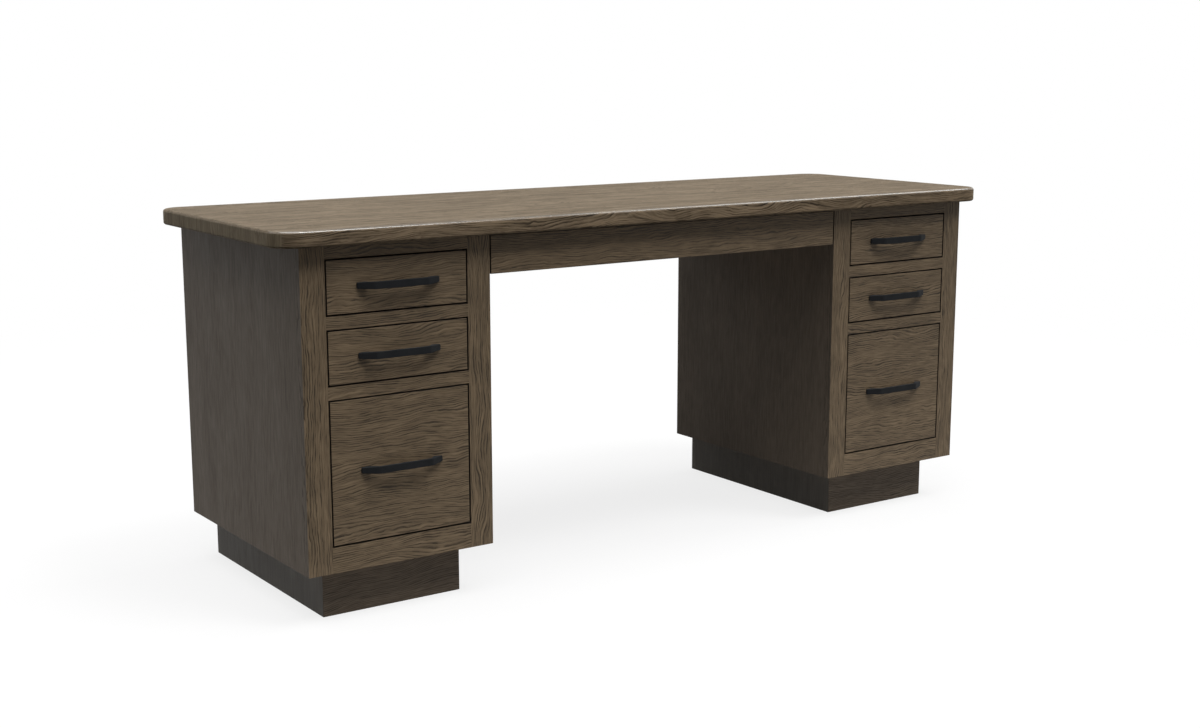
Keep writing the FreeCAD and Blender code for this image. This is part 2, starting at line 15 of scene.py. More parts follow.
import bmesh
import bpy
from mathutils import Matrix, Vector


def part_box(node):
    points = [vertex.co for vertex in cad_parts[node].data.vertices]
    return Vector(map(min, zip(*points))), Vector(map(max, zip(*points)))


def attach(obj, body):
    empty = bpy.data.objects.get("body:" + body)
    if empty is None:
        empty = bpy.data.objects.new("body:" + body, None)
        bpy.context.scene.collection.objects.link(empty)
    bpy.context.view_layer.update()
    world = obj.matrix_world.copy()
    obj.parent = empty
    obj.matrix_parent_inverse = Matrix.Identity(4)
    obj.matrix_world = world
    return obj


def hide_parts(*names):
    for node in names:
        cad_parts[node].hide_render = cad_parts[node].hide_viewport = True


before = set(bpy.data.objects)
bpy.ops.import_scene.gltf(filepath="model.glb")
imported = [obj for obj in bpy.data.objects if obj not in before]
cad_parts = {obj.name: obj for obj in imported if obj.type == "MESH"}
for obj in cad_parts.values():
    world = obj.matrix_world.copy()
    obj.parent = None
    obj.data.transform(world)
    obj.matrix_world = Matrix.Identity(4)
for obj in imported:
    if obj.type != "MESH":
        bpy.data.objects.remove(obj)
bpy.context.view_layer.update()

LOG = logging.getLogger("desk")

ARRIS_STEPS = 2
ARRIS_ROUND = 0.5
NOISE_MEAN = 0.5

Colour = tuple[float, float, float]
Point = tuple[float, float, float]
Span = tuple[float, float]
Plan = Sequence[tuple[float, float]]
Socket = bpy.types.NodeSocket
Feed = Union[Socket, float, Sequence[float]]


class Axis(IntEnum):
    """The three axes, by their place in a vector."""

    X = 0
    Y = 1
    Z = 2


class Grain(Enum):
    """Which way a board's grain runs: its axes along the grain, across it, and out of the face."""

    TOP = (Axis.X, Axis.Y, Axis.Z)
    LEVEL = (Axis.X, Axis.Z, Axis.Y)
    UPRIGHT = (Axis.Z, Axis.X, Axis.Y)
    SIDE = (Axis.Z, Axis.Y, Axis.X)
    DEEP = (Axis.Y, Axis.Z, Axis.X)

    @property
    def out(self) -> Axis:
        """Return the axis that the board's main face looks along."""
        return self.value[2]


class Hand(Enum):
    """The two pedestals, and the two ways along X."""

    LEFT = "left"
    RIGHT = "right"

    @property
    def way(self) -> float:
        """Return which way along X this hand lies."""
        return -1.0 if self is Hand.LEFT else 1.0

    @property
    def other(self) -> "Hand":
        """Return the opposite hand."""
        return Hand.RIGHT if self is Hand.LEFT else Hand.LEFT


class Tier(Enum):
    """The three drawers of a pedestal, from the top down."""

    UPPER = "upper"
    MIDDLE = "middle"
    FILE = "file"


class Facing(Enum):
    """The four sides that the boards of a plinth face."""

    FRONT = "front"
    WEST = "west"
    EAST = "east"
    BACK = "back"


class Canvas:
    """A node tree, with short ways to add nodes to it."""

    def __init__(self, tree: bpy.types.NodeTree) -> None:
        """Take up the node tree of a material or of the world."""
        self.nodes = tree.nodes
        self.links = tree.links

    def feed(self, socket: Socket, value: Feed) -> None:
        """Link a socket to another one, or set it to a constant.

        Args:
            socket: The input to fill.
            value: An output socket, a number or a vector.
        """
        if isinstance(value, Socket):
            self.links.new(value, socket)
        else:
            socket.default_value = value

    def position(self) -> Socket:
        """Return the place of a point on its piece, which rides with the piece."""
        return self.nodes.new("ShaderNodeTexCoord").outputs["Object"]

    def normal(self) -> tuple[Socket, ...]:
        """Return the X, Y and Z of the way the surface faces on its piece."""
        return self.split(self.nodes.new("ShaderNodeTexCoord").outputs["Normal"])

    def facing(self, axis: Axis) -> Socket:
        """Say how squarely the surface looks along an axis, from 0, edge on, to 1, square on."""
        return self.math("ABSOLUTE", self.normal()[axis])

    def work_out(self, kind: str, operation: str, values: Sequence[Feed]) -> bpy.types.ShaderNode:
        """Add a node that works something out.

        Args:
            kind: The node's type.
            operation: The name of the sum, as the node spells it.
            values: Up to three sockets or constants.

        Returns:
            The node.
        """
        node = self.nodes.new(kind)
        node.operation = operation
        for place, value in enumerate(values):
            self.feed(node.inputs[place], value)
        return node

    def math(self, operation: str, *values: Feed, clamp: bool = False) -> Socket:
        """Work out one number.

        Args:
            operation: The name of the sum, as the Math node spells it.
            *values: Up to three sockets or numbers.
            clamp: Whether the result stays between 0 and 1.

        Returns:
            The result.
        """
        node = self.work_out("ShaderNodeMath", operation, values)
        node.use_clamp = clamp
        return node.outputs["Value"]

    def vector(self, operation: str, *values: Feed) -> Socket:
        """Work out one vector from up to three others, with a sum of the Vector Math node."""
        return self.work_out("ShaderNodeVectorMath", operation, values).outputs["Vector"]

    def length(self, vector: Socket) -> Socket:
        """Return the length of a vector."""
        return self.work_out("ShaderNodeVectorMath", "LENGTH", [vector]).outputs["Value"]

    def split(self, vector: Socket) -> tuple[Socket, ...]:
        """Take a vector apart.

        Args:
            vector: The vector.

        Returns:
            Its X, Y and Z.
        """
        node = self.nodes.new("ShaderNodeSeparateXYZ")
        self.feed(node.inputs[0], vector)
        return tuple(node.outputs)

    def join(self, *parts: Feed) -> Socket:
        """Put a vector together.

        Args:
            *parts: Its three parts.

        Returns:
            The vector.
        """
        node = self.nodes.new("ShaderNodeCombineXYZ")
        for place, value in enumerate(parts):
            self.feed(node.inputs[place], value)
        return node.outputs["Vector"]

    def clouds(self, place: Socket, size: Point, detail: float) -> bpy.types.ShaderNode:
        """Add a noise texture whose clouds have a given size.

        Args:
            place: The place of the point.
            size: The length of a cloud along, across and out of the board.
            detail: How many finer layers there are.

        Returns:
            The texture, which gives one number and three others, all around 0.5.
        """
        node = self.nodes.new("ShaderNodeTexNoise")
        node.inputs["Scale"].default_value = 1.0
        node.inputs["Detail"].default_value = detail
        self.feed(node.inputs["Vector"], self.vector("DIVIDE", place, size))
        return node

    def noise(self, place: Socket, size: Point, detail: float = 2.0) -> Socket:
        """Return the clouds as one number around 0.5."""
        return self.clouds(place, size, detail).outputs["Fac"]

    def wave(self, place: Socket, size: Point, detail: float = 2.0) -> Socket:
        """Return the clouds as one number around 0."""
        return self.math("SUBTRACT", self.noise(place, size, detail), NOISE_MEAN)

    def drift(self, place: Socket, size: Point, reach: Point) -> Socket:
        """Let a place wander along, across and out of the board.

        Args:
            place: The place of the point.
            size: The length of a bend along, across and out of the board.
            reach: How far the place can wander each way.

        Returns:
            The moved place.
        """
        colour = self.clouds(place, size, detail=1.0).outputs["Color"]
        sway = self.vector("SUBTRACT", colour, (NOISE_MEAN, NOISE_MEAN, NOISE_MEAN))
        return self.vector("MULTIPLY_ADD", sway, tuple(part / NOISE_MEAN for part in reach), place)

    def chance(self, number: Socket, output: str = "Value") -> Socket:
        """Draw a fixed random value for a whole number.

        Args:
            number: The number to draw for.
            output: Value for one number, Color for three.

        Returns:
            The drawn value, between 0 and 1.
        """
        node = self.nodes.new("ShaderNodeTexWhiteNoise")
        node.noise_dimensions = "1D"
        self.feed(node.inputs["W"], number)
        return node.outputs[output]

    def ease(self, value: Feed, low: float, high: float, start: float = 0.0, end: float = 1.0) -> Socket:
        """Map a range to another one with soft ends.

        Args:
            value: The number to map.
            low: Where the range begins.
            high: Where the range ends.
            start: The result at low.
            end: The result at high.

        Returns:
            The mapped number.
        """
        node = self.nodes.new("ShaderNodeMapRange")
        node.interpolation_type = "SMOOTHSTEP"
        self.feed(node.inputs["Value"], value)
        node.inputs["From Min"].default_value = low
        node.inputs["From Max"].default_value = high
        node.inputs["To Min"].default_value = start
        node.inputs["To Max"].default_value = end
        return node.outputs["Result"]

    def blend(self, share: Feed, first: Feed, second: Feed) -> Socket:
        """Mix two colours.

        Args:
            share: How much of the second colour there is, between 0 and 1.
            first: One colour.
            second: The other colour.

        Returns:
            The mixed colour.
        """
        node = self.nodes.new("ShaderNodeMix")
        node.data_type = "RGBA"
        self.feed(node.inputs["Factor"], share)
        for label, value in (("A", first), ("B", second)):
            socket = next(each for each in node.inputs if each.name == label and each.type == "RGBA")
            self.feed(socket, value if isinstance(value, Socket) else (*value, 1.0))
        return next(each for each in node.outputs if each.type == "RGBA")

    def seen(self) -> Socket:
        """Tell rays that show a thing to the eye, also by a mirror or glass, from light that bounces.

        Returns:
            1 for a ray that shows a thing, and 0 for the others.
        """
        rays = self.nodes.new("ShaderNodeLightPath").outputs
        direct = self.math("MAXIMUM", rays["Is Camera Ray"], rays["Is Glossy Ray"])
        return self.math("MAXIMUM", direct, rays["Is Transmission Ray"])

    def show(self, share: Socket, first: Socket, second: Socket, output: str) -> None:
        """Mix two shaders and send them to the tree's output.

        Args:
            share: How much of the second shader there is, between 0 and 1.
            first: One shader.
            second: The other shader.
            output: The name of the output node.
        """
        mix = self.nodes.new("ShaderNodeMixShader")
        for place, value in enumerate((share, first, second)):
            self.feed(mix.inputs[place], value)
        self.feed(self.nodes[output].inputs["Surface"], mix.outputs["Shader"])

    def grain_place(self, grain: Grain, shift: Point) -> Socket:
        """Turn a point's place so that its first axis runs with the grain.

        Args:
            grain: Which way the grain runs.
            shift: Where in the log this board was cut.

        Returns:
            The place along the grain, across it and out of the face.
        """
        parts = self.split(self.position())
        turned = self.join(*(parts[axis] for axis in grain.value))
        return self.vector("ADD", turned, shift)


class Surface(Canvas):
    """A material and its shader."""

    def __init__(self, name: str) -> None:
        """Start a material that holds only its shader and its output.

        Args:
            name: The material's name.
        """
        self.material = bpy.data.materials.new(name)
        self.material.use_nodes = True
        super().__init__(self.material.node_tree)
        self.shader = self.nodes["Principled BSDF"]

    def set(self, socket: str, value: Feed) -> None:
        """Link one of the shader's own sockets, or set it to a constant."""
        self.feed(self.shader.inputs[socket], value)

    def bump(self, height: Socket, depth: float, strength: float) -> None:
        """Give the shader a relief.

        Args:
            height: The height, between 0 and 1.
            depth: The depth of the relief.
            strength: How much of the relief shows.
        """
        node = self.nodes.new("ShaderNodeBump")
        node.inputs["Distance"].default_value = depth
        node.inputs["Strength"].default_value = strength
        self.feed(node.inputs["Height"], height)
        self.set("Normal", node.outputs["Normal"])


@dataclass(frozen=True)
class OakFinish:
    """Open-grained oak under a weathered grey-brown stain.

    Streaks, year rings and open pores follow grain lines that wander sideways along the board.  Together
    they make a shade, which runs from the light colour at 0 to the dark one at 1.
    """

    name: str
    light: Colour
    dark: Colour
    base: float = 0.30
    streak_size: Point = (0.045, 0.0026, 0.0026)
    streak_depth: float = 1.2
    ring: float = 0.0044
    ring_lean: float = 0.5
    ring_depth: float = 0.9
    row_size: Point = (0.025, 0.0034, 0.0034)
    bend: Point = (0.0, 0.022, 0.0)
    bend_size: Point = (0.20, 0.06, 0.06)
    wiggle: Point = (0.0, 0.0022, 0.0)
    wiggle_size: Point = (0.025, 0.025, 0.025)
    pore_size: Point = (0.010, 0.0009, 0.0009)
    pore_depth: float = 0.3
    fibre_size: Point = (0.20, 0.0016, 0.0016)
    fibre_depth: float = 0.5
    patch_size: Point = (0.10, 0.025, 0.025)
    patch_depth: float = 0.6
    stave: float = 0.0
    end_grain: bool = False
    # Colours of the faces turned away from the main face. On the drawer fronts and face frame they are near
    # black, as painted shade that darkens the gaps between them. On the top they are lighter than its face,
    # as painted light.
    edges: Optional[tuple[Colour, Colour]] = None
    # Colours of the top's sawn ends: greyer, calmer end grain, and painted light like the top's edges.
    ends: Optional[tuple[Colour, Colour]] = None
    burnish: float = 0.0
    wax: float = 0.0
    roughness: float = 0.52
    specular: float = 0.15

    # Where boards are cut from the log, and how far apart in it the staves of a glued-up board can be.
    log_step: ClassVar[Point] = (0.731, 0.173, 0.097)
    log_places: ClassVar[tuple[int, int, int]] = (17, 13, 11)
    stave_jump: ClassVar[Point] = (3.0, 0.4, 0.06)

    # How year rings vary, how much of a ring is early wood, its faintest year, and how its rows break.
    uneven_size: ClassVar[Point] = (0.04, 0.009, 0.009)
    early_share: ClassVar[float] = 0.75
    faint_year: ClassVar[float] = 0.35
    row_break: ClassVar[Span] = (0.35, 0.60)
    row_least: ClassVar[float] = 0.35

    # The noise at which pores open, and the share of them that late wood keeps.
    pore_onset: ClassVar[Span] = (0.52, 0.68)
    late_pores: ClassVar[float] = 0.3

    # How squarely a face or a sawn end looks along its axis: colours turn softly there, the figure sharply.
    face_turn: ClassVar[Span] = (0.3, 0.7)
    end_turn: ClassVar[Span] = (0.60, 0.80)
    face_limit: ClassVar[float] = 0.5
    end_limit: ClassVar[float] = 0.72

    # The polished front edge begins where the surface turns up, and ends where it no longer looks forward.
    burnish_rise: ClassVar[Span] = (0.15, 0.45)
    burnish_fall: ClassVar[Span] = (-0.25, -0.05)
    burnish_roughness: ClassVar[float] = 0.13
    burnish_index: ClassVar[float] = 1.9
    wax_roughness: ClassVar[float] = 0.5

    # Dark wood is rougher, and pores and early wood lie lower.
    dark_roughness: ClassVar[float] = 0.16
    pore_hollow: ClassVar[float] = 0.6
    row_hollow: ClassVar[float] = 0.4
    relief: ClassVar[float] = 0.0004
    relief_strength: ClassVar[float] = 0.35

    def material(self, board: str, grain: Grain, outside: Optional[Hand] = None) -> bpy.types.Material:
        """Make the finish of one board.

        Args:
            board: The board's name, which sets where in the log it was cut.
            grain: Which way its grain runs.
            outside: The hand that its finished side faces, or None if it has no such side.

        Returns:
            The material.
        """
        surface = Surface(f"{self.name}.{board}")
        place = self.grain_lines(surface, board, grain)
        rows = self.rings(surface, place)
        pores = self.pores(surface, place, rows)
        shade = self.shade(surface, place, rows, pores)
        surface.set("Base Color", self.stain(surface, shade, grain, outside))
        surface.set("Roughness", surface.math("MULTIPLY_ADD", shade, self.dark_roughness, self.roughness))
        surface.set("Specular IOR Level", self.specular)
        if self.burnish > 0.0:
            self.add_burnish(surface)
        if self.wax > 0.0:
            self.add_wax(surface, grain)
        low_rows = surface.math("MULTIPLY", rows, self.row_hollow)
        hollow = surface.math("MULTIPLY_ADD", pores, self.pore_hollow, low_rows)
        surface.bump(surface.math("SUBTRACT", 1.0, hollow), self.relief, self.relief_strength)
        return surface.material

    def grain_lines(self, canvas: Canvas, board: str, grain: Grain) -> Socket:
        """Find a point's place on the grain lines, which bend and wiggle along the board.

        Args:
            canvas: The material's nodes.
            board: The board's name.
            grain: Which way its grain runs.

        Returns:
            The place along the lines, across them and out of the face.
        """
        place = canvas.grain_place(grain, self.cut_from(board))
        if self.stave > 0.0:
            place = self.in_staves(canvas, place)
        if self.end_grain:
            place = self.turned_at_ends(canvas, place)
        place = canvas.drift(place, self.bend_size, self.bend)
        return canvas.drift(place, self.wiggle_size, self.wiggle)

    def cut_from(self, board: str) -> Point:
        """Return where in the log a board was cut, which is always the same for the same name."""
        seed = sum((place + 1) * ord(letter) for place, letter in enumerate(board))
        return tuple(step * (seed % places) for step, places in zip(self.log_step, self.log_places))

    def in_staves(self, canvas: Canvas, place: Socket) -> Socket:
        """Shift the grain of each stave of a glued-up board.

        Args:
            canvas: The material's nodes.
            place: The place in the log.

        Returns:
            The place in the log, with a jump at each joint.
        """
        _, across, _ = canvas.split(place)
        number = canvas.math("FLOOR", canvas.math("DIVIDE", across, self.stave))
        jump = canvas.vector("MULTIPLY", canvas.chance(number, "Color"), self.stave_jump)
        return canvas.vector("ADD", place, jump)

    def turned_at_ends(self, canvas: Canvas, place: Socket) -> Socket:
        """Turn the figure upright on the sawn ends of a board that lies flat with its grain along X.

        On the long edges the figure stays the same across the board, and so runs on round the corners.

        Args:
            canvas: The material's nodes.
            place: The place in the log.

        Returns:
            The place in the log, turned on the ends.
        """
        along, across, out = canvas.split(place)
        on_face = canvas.math("GREATER_THAN", canvas.facing(Axis.Z), self.face_limit)
        level = canvas.join(along, canvas.math("MULTIPLY", across, on_face), out)
        upright = canvas.join(out, across, along)
        end = canvas.math("GREATER_THAN", canvas.facing(Axis.X), self.end_limit)
        turn = canvas.vector("SUBTRACT", upright, level)
        return canvas.vector("MULTIPLY_ADD", turn, canvas.join(end, end, end), level)

    def rings(self, canvas: Canvas, place: Socket) -> Socket:
        """Draw the rows of dark early wood that the year rings leave on the board.

        Args:
            canvas: The material's nodes.
            place: The place on the grain lines.

        Returns:
            How much early wood there is, between 0 and 1.
        """
        _, across, out = canvas.split(place)
        leaning = canvas.math("MULTIPLY_ADD", out, self.ring_lean, across)
        uneven = canvas.wave(place, self.uneven_size, detail=1.0)
        count = canvas.math("ADD", canvas.math("DIVIDE", leaning, self.ring), uneven)
        year = canvas.chance(canvas.math("FLOOR", count))
        early = canvas.ease(canvas.math("FRACT", count), 0.0, self.early_share, 1.0, 0.0)
        strong = canvas.math("MULTIPLY_ADD", year, 1.0 - self.faint_year, self.faint_year)
        along_row = canvas.noise(place, self.row_size, detail=1.0)
        broken = canvas.ease(along_row, *self.row_break, self.row_least, 1.0)
        return canvas.math("MULTIPLY", canvas.math("MULTIPLY", early, strong), broken)

    def pores(self, canvas: Canvas, place: Socket, rows: Socket) -> Socket:
        """Open pores in the wood, most of them in its early rows.

        Args:
            canvas: The material's nodes.
            place: The place on the grain lines.
            rows: How much early wood there is.

        Returns:
            How open the wood is, between 0 and 1.
        """
        pores = canvas.ease(canvas.noise(place, self.pore_size, detail=1.0), *self.pore_onset)
        kept = canvas.math("MULTIPLY_ADD", rows, 1.0 - self.late_pores, self.late_pores)
        return canvas.math("MULTIPLY", pores, kept)

    def shade(self, canvas: Canvas, place: Socket, rows: Socket, pores: Socket) -> Socket:
        """Add rings, streaks, fibres, patches and pores up.

        Args:
            canvas: The material's nodes.
            place: The place on the grain lines.
            rows: How much early wood there is.
            pores: How open the wood is.

        Returns:
            How dark the wood is, between 0 and 1.
        """
        shade = canvas.math("MULTIPLY_ADD", rows, self.ring_depth, self.base)
        waves = (
            (self.streak_size, self.streak_depth),
            (self.fibre_size, self.fibre_depth),
            (self.patch_size, self.patch_depth),
        )
        for size, depth in waves:
            shade = canvas.math("MULTIPLY_ADD", canvas.wave(place, size), depth, shade)
        return canvas.math("MULTIPLY_ADD", pores, self.pore_depth, shade, clamp=True)

    def stain(self, canvas: Canvas, shade: Socket, grain: Grain, outside: Optional[Hand]) -> Socket:
        """Stain the wood, give its finished side the side panels' colours, and paint light and shade on its
        edges and ends.

        Args:
            canvas: The material's nodes.
            shade: How dark the wood is.
            grain: Which way the board's grain runs.
            outside: The hand that its finished side faces, if it has one.

        Returns:
            The colour.
        """
        colour = canvas.blend(shade, self.light, self.dark)
        # Painted light and shade: the faces turned away from the main face, with their rounded arrises,
        # take the edge colours, darker ones as painted shade and lighter ones as painted light.
        if self.edges is not None:
            edge = canvas.blend(shade, *self.edges)
            if self.ends is not None:
                end = canvas.ease(canvas.facing(Axis.X), *self.end_turn)
                edge = canvas.blend(end, edge, canvas.blend(shade, *self.ends))
            on_face = canvas.ease(canvas.facing(grain.out), *self.face_turn)
            colour = canvas.blend(on_face, edge, colour)
        if outside is not None:
            side = canvas.blend(shade, OAK_SIDE.light, OAK_SIDE.dark)
            turned = canvas.math("MULTIPLY", canvas.normal()[Axis.X], outside.way)
            colour = canvas.blend(canvas.ease(turned, *self.face_turn), colour, side)
        return colour

    def add_burnish(self, surface: Surface) -> None:
        """Polish the rounded front edge, which sleeves rub.

        Args:
            surface: The material.
        """
        _, north, up = surface.normal()
        over_front = surface.ease(up, *self.burnish_rise, 0.0, self.burnish)
        before_top = surface.ease(north, *self.burnish_fall, 1.0, 0.0)
        surface.set("Coat Weight", surface.math("MULTIPLY", over_front, before_top))
        surface.set("Coat Roughness", self.burnish_roughness)
        surface.set("Coat IOR", self.burnish_index)

    def add_wax(self, surface: Surface, grain: Grain) -> None:
        """Rub a thin, dull wax into the main face.

        Args:
            surface: The material.
            grain: Which way the board's grain runs.
        """
        on_face = surface.ease(surface.facing(grain.out), *self.face_turn, 0.0, self.wax)
        surface.set("Coat Weight", on_face)
        surface.set("Coat Roughness", self.wax_roughness)


@dataclass(frozen=True)
class PaleWoodFinish:
    """Clear-coated pale wood of the drawer boxes, or the plies inside the case."""

    name: str
    light: Colour
    dark: Colour
    streak: float = 0.004
    length: float = 0.25
    roughness: float = 0.42

    base: ClassVar[float] = 0.15
    streak_depth: ClassVar[float] = 1.3
    cloud_size: ClassVar[Point] = (0.4, 0.05, 0.05)
    cloud_depth: ClassVar[float] = 0.5
    fleck_size: ClassVar[Point] = (0.006, 0.0008, 0.0008)
    fleck_onset: ClassVar[Span] = (0.58, 0.72)
    fleck_depth: ClassVar[float] = 0.25
    dark_roughness: ClassVar[float] = 0.15
    relief: ClassVar[float] = 0.0002
    relief_strength: ClassVar[float] = 0.25

    @cache
    def material(self, grain: Grain) -> bpy.types.Material:
        """Make the finish, once for each way of the grain.

        Args:
            grain: Which way the grain runs.

        Returns:
            The material.
        """
        surface = Surface(f"{self.name}.{grain.name.lower()}")
        place = surface.grain_place(grain, (0.0, 0.0, 0.0))
        streak = surface.wave(place, (self.length, self.streak, self.streak), detail=4.0)
        cloud = surface.noise(place, self.cloud_size)
        fleck = surface.ease(surface.noise(place, self.fleck_size, detail=1.0), *self.fleck_onset)
        shade = surface.math("MULTIPLY_ADD", streak, self.streak_depth, self.base)
        shade = surface.math("MULTIPLY_ADD", cloud, self.cloud_depth, shade)
        shade = surface.math("MULTIPLY_ADD", fleck, self.fleck_depth, shade, clamp=True)
        surface.set("Base Color", surface.blend(shade, self.light, self.dark))
        surface.set("Roughness", surface.math("MULTIPLY_ADD", shade, self.dark_roughness, self.roughness))
        surface.bump(surface.math("SUBTRACT", 1.0, shade), self.relief, self.relief_strength)
        return surface.material


@dataclass(frozen=True)
class MetalFinish:
    """A metal surface: painted satin black, or bright zinc plate."""

    name: str
    light: Colour
    dark: Colour
    metallic: float
    roughness: float
    speck: Point
    relief: float
    specular: float = 0.5

    speck_depth: ClassVar[float] = 1.6
    cloud_size: ClassVar[Point] = (0.03, 0.03, 0.03)
    dark_roughness: ClassVar[float] = 0.12
    relief_strength: ClassVar[float] = 0.3

    @cache
    def material(self) -> bpy.types.Material:
        """Make the finish, once.

        Returns:
            The material.
        """
        surface = Surface(self.name)
        place = surface.position()
        speck = surface.noise(place, self.speck, detail=3.0)
        cloud = surface.noise(place, self.cloud_size)
        fine = surface.math("SUBTRACT", speck, NOISE_MEAN)
        shade = surface.math("MULTIPLY_ADD", fine, self.speck_depth, cloud, clamp=True)
        surface.set("Base Color", surface.blend(shade, self.light, self.dark))
        surface.set("Roughness", surface.math("MULTIPLY_ADD", shade, self.dark_roughness, self.roughness))
        surface.set("Metallic", self.metallic)
        surface.set("Specular IOR Level", self.specular)
        surface.bump(speck, self.relief, self.relief_strength)
        return surface.material


# The top's long edges and sawn ends are coloured much lighter than its face. This is painted light,
# standing for the difference in light between the face and its upright edges. The ends are also greyer and
# calmer, as end grain is.
OAK_TOP = OakFinish(
    "oak_top", (0.160, 0.121, 0.078), (0.047, 0.035, 0.021), streak_size=(0.10, 0.0030, 0.0030),
    ring_lean=1.0, row_size=(0.06, 0.006, 0.006), bend=(0.0, 0.020, 0.045), bend_size=(0.25, 0.08, 0.08),
    patch_size=(0.20, 0.020, 0.020), patch_depth=1.2, stave=0.102, end_grain=True,
    edges=((0.300, 0.222, 0.142), (0.043, 0.032, 0.021)),
    ends=((0.236, 0.190, 0.128), (0.125, 0.101, 0.068)),
    burnish=0.65, roughness=0.58, specular=0.08,
)
# Its near-black edges are painted shade, which darkens the gaps round the drawer fronts and along the face
# frame.
OAK_FACE = OakFinish(
    "oak_face", (0.224, 0.161, 0.097), (0.030, 0.021, 0.012), streak_depth=1.4,
    edges=((0.030, 0.023, 0.016), (0.011, 0.009, 0.007)), wax=0.22,
)
OAK_SIDE = OakFinish(
    "oak_side", (0.112, 0.088, 0.065), (0.054, 0.042, 0.031), streak_size=(0.040, 0.004, 0.004),
    ring_depth=0.2, bend=(0.0, 0.02, 0.0), bend_size=(0.6, 0.08, 0.08), wiggle=(0.0, 0.001, 0.0),
    pore_depth=0.2, patch_size=(0.25, 0.06, 0.06),
)
OAK_PLINTH = OakFinish(
    "oak_plinth", (0.184, 0.143, 0.103), (0.050, 0.039, 0.030), bend=(0.0, 0.06, 0.0),
    bend_size=(0.30, 0.30, 0.30), specular=0.2,
)
OAK_PLINTH_SIDE = OakFinish(
    "oak_plinth_side", (0.118, 0.107, 0.092), (0.067, 0.060, 0.052), streak_size=(0.06, 0.004, 0.004),
    streak_depth=0.9, ring_depth=0.2, bend=(0.0, 0.01, 0.0), wiggle=(0.0, 0.001, 0.0), pore_depth=0.2,
)
MAPLE = PaleWoodFinish("maple", (0.50, 0.37, 0.235), (0.36, 0.25, 0.145))
PLYWOOD = PaleWoodFinish("plywood", (0.50, 0.37, 0.23), (0.33, 0.22, 0.12), streak=0.008)
BLACK_METAL = MetalFinish(
    "black_metal", (0.022, 0.023, 0.025), (0.012, 0.013, 0.014), metallic=0.0, roughness=0.55,
    speck=(0.0009, 0.0009, 0.0009), relief=0.00008, specular=0.06,
)
ZINC = MetalFinish(
    "zinc_plate", (0.46, 0.47, 0.48), (0.33, 0.34, 0.35), metallic=1.0, roughness=0.34,
    speck=(0.004, 0.02, 0.001), relief=0.00004,
)


def rectangle(low: Sequence[float], high: Sequence[float]) -> Plan:
    """Return the plan of a square-cornered board that fills a box."""
    return [(low[0], low[1]), (high[0], low[1]), (high[0], high[1]), (low[0], high[1])]


def saw_board(name: str, plan: Plan, low: float, high: float, arris: float) -> bpy.types.Object:
    """Saw a board to a plan and take the sharpness off its edges.

    Args:
        name: The board's name.
        plan: Its corners seen from above.
        low: The height of its lower face.
        high: The height of its upper face.
        arris: How wide the eased edge is.

    Returns:
        The board, which rides on nothing yet.
    """
    shape = bmesh.new()
    base = shape.faces.new([shape.verts.new((x, y, low)) for x, y in plan])
    raised = bmesh.ops.extrude_face_region(shape, geom=[base])["geom"]
    corners = [item for item in raised if isinstance(item, bmesh.types.BMVert)]
    bmesh.ops.translate(shape, verts=corners, vec=(0.0, 0.0, high - low))
    bmesh.ops.recalc_face_normals(shape, faces=shape.faces[:])
    bmesh.ops.bevel(
        shape, geom=shape.edges[:], offset=arris, segments=ARRIS_STEPS, profile=ARRIS_ROUND, affect="EDGES",
    )
    mesh = bpy.data.meshes.new(name)
    shape.to_mesh(mesh)
    shape.free()
    board = bpy.data.objects.new(name, mesh)
    bpy.context.collection.objects.link(board)
    return board


def saw_front(node: str, arris: float) -> bpy.types.Object:
    """Return a newly sawn drawer front that fills the box of a node."""
    low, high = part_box(node)
    return saw_board(f"{node}_board", rectangle(low, high), low[2], high[2], arris)


def fit(board: bpy.types.Object, body: str, node: str, material: bpy.types.Material) -> None:
    """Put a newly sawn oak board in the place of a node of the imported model.

    Args:
        board: The board.
        body: The body that it moves with.
        node: The node that it stands for.
        material: Its finish.
    """
    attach(board, body)
    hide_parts(node)
    board.data.materials.append(material)
    LOG.info("fitted %s for %s with %s", board.name, node, material.name)


def dress(node: str, material: bpy.types.Material) -> None:
    """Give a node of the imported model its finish.

    Args:
        node: The node's name.
        material: Its finish.
    """
    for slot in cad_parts[node].material_slots:
        slot.material = material
    LOG.info("dressed %s with %s", node, material.name)


@dataclass
class Worktop:
    """The thick oak top and the screws that hold it."""

    node: str = "desk_top"
    screws: str = "top_screws"

    def dress(self) -> None:
        """Finish the top and its screws."""
        dress(self.node, OAK_TOP.material(self.node, Grain.TOP))
        dress(self.screws, ZINC.material())


